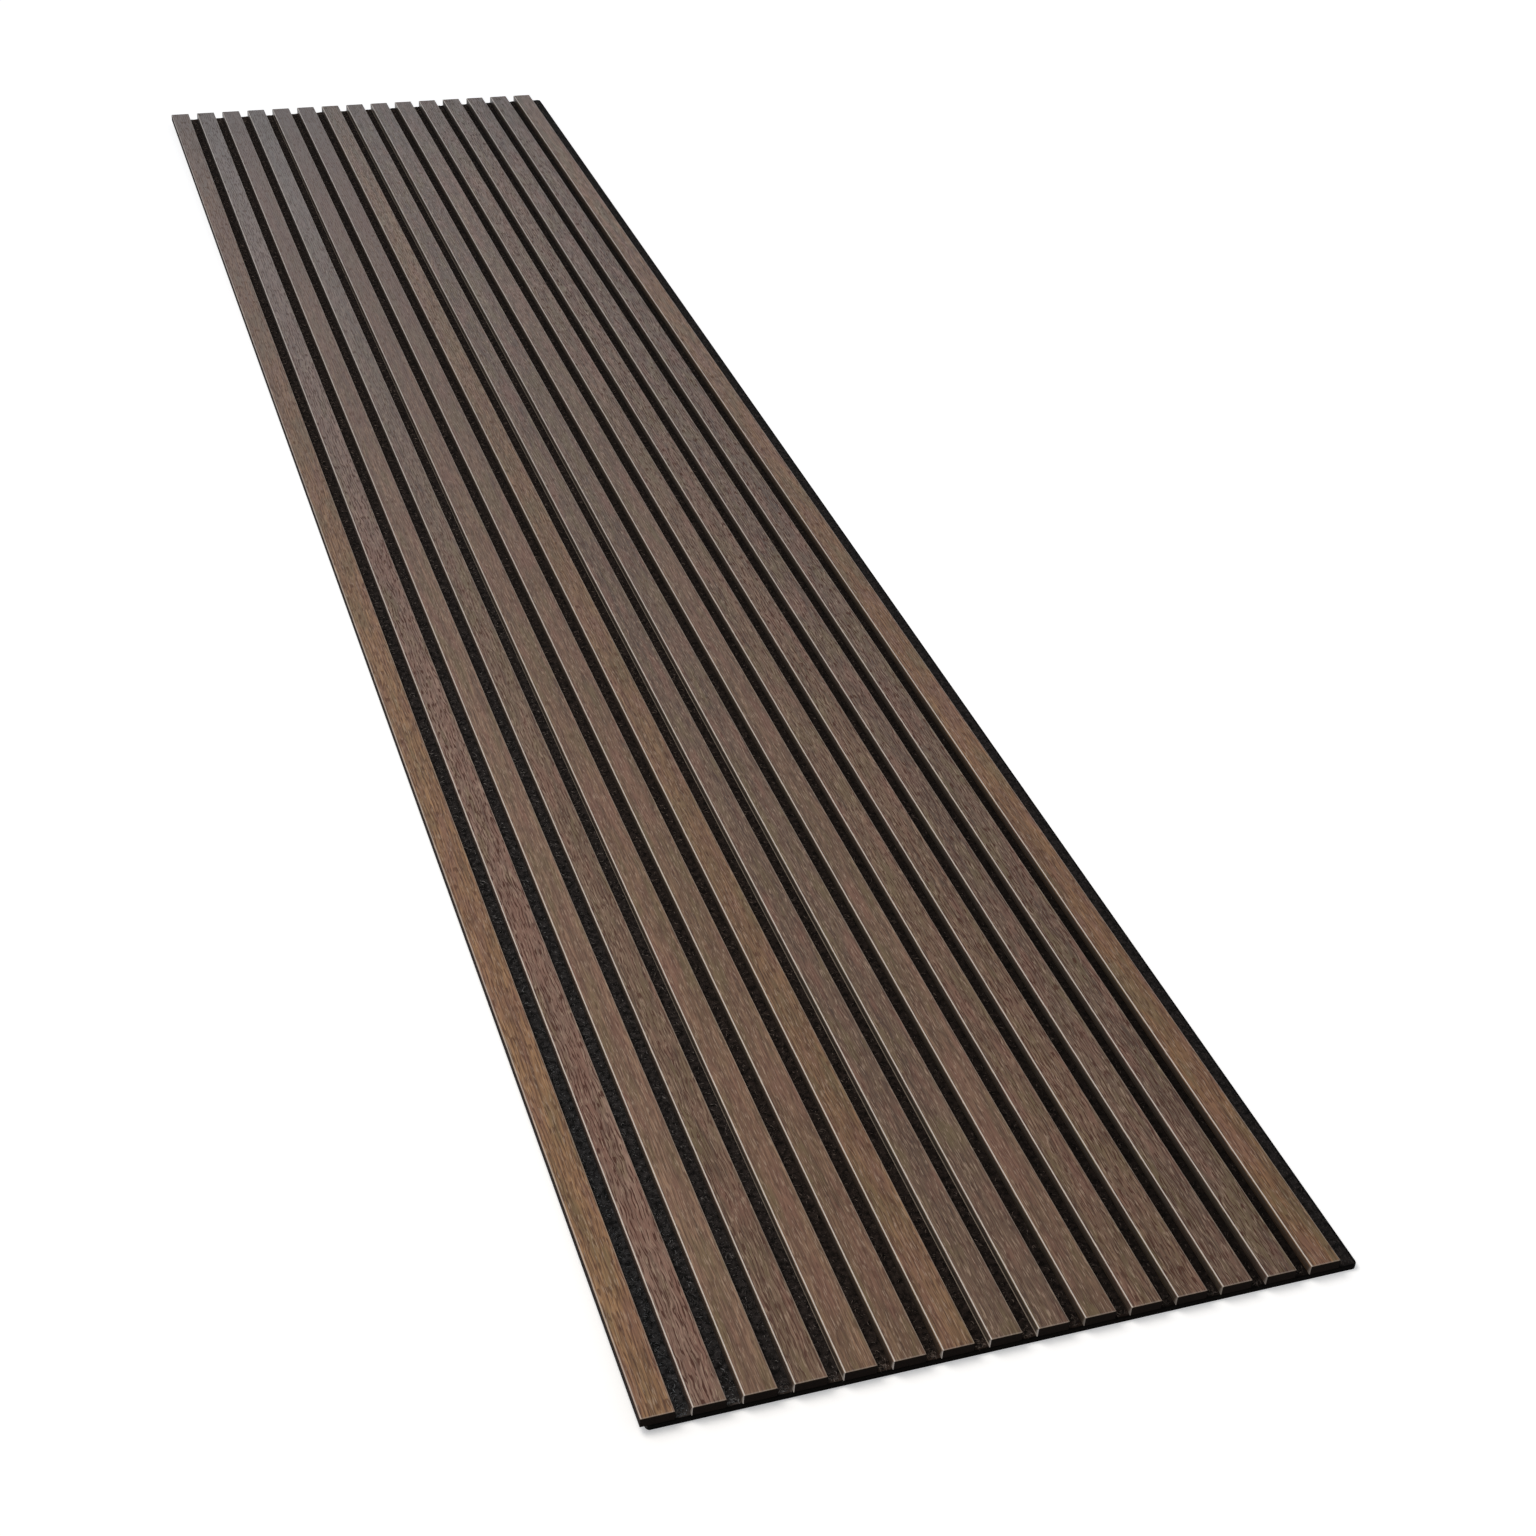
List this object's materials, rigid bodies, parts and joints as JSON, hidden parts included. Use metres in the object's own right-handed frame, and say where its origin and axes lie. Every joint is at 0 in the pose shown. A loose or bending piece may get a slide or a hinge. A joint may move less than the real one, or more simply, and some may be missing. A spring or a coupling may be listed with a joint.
{
  "type": "acoustic slat wall panel",
  "caption": "Long acoustic wall panel of smoked-oak wrapped MDF slats stapled to a black felt backing, with a slat overhang on one side and a felt margin on the other.",
  "frame": {"origin": "middle of the footprint, on the back face that lies against the wall", "axes": "+X across the slats, from the overhanging first slat to the bare felt margin; +Y along the slats; +Z out of the wall, the face side"},
  "size_m": [0.605, 2.7, 0.015],
  "materials": {
    "felt": "needled felt",
    "mdf": "black-dyed MDF, sawn ends",
    "oak_wrap": "smoked oak, open grain, matt lacquer",
    "staple_wire": "galvanised wire"
  },
  "bodies": {
    "root": {"felt_backing": "felt", "slat_core_01": "mdf", "veneer_wrap_01": "oak_wrap", "slat_core_02": "mdf", "veneer_wrap_02": "oak_wrap", "slat_core_03": "mdf", "veneer_wrap_03": "oak_wrap", "slat_core_04": "mdf", "veneer_wrap_04": "oak_wrap", "slat_core_05": "mdf", "veneer_wrap_05": "oak_wrap", "slat_core_06": "mdf", "veneer_wrap_06": "oak_wrap", "slat_core_07": "mdf", "veneer_wrap_07": "oak_wrap", "slat_core_08": "mdf", "veneer_wrap_08": "oak_wrap", "slat_core_09": "mdf", "veneer_wrap_09": "oak_wrap", "slat_core_10": "mdf", "veneer_wrap_10": "oak_wrap", "slat_core_11": "mdf", "veneer_wrap_11": "oak_wrap", "slat_core_12": "mdf", "veneer_wrap_12": "oak_wrap", "slat_core_13": "mdf", "veneer_wrap_13": "oak_wrap", "slat_core_14": "mdf", "veneer_wrap_14": "oak_wrap", "slat_core_15": "mdf", "veneer_wrap_15": "oak_wrap", "staples": "staple_wire"}
  },
  "joints": []
}
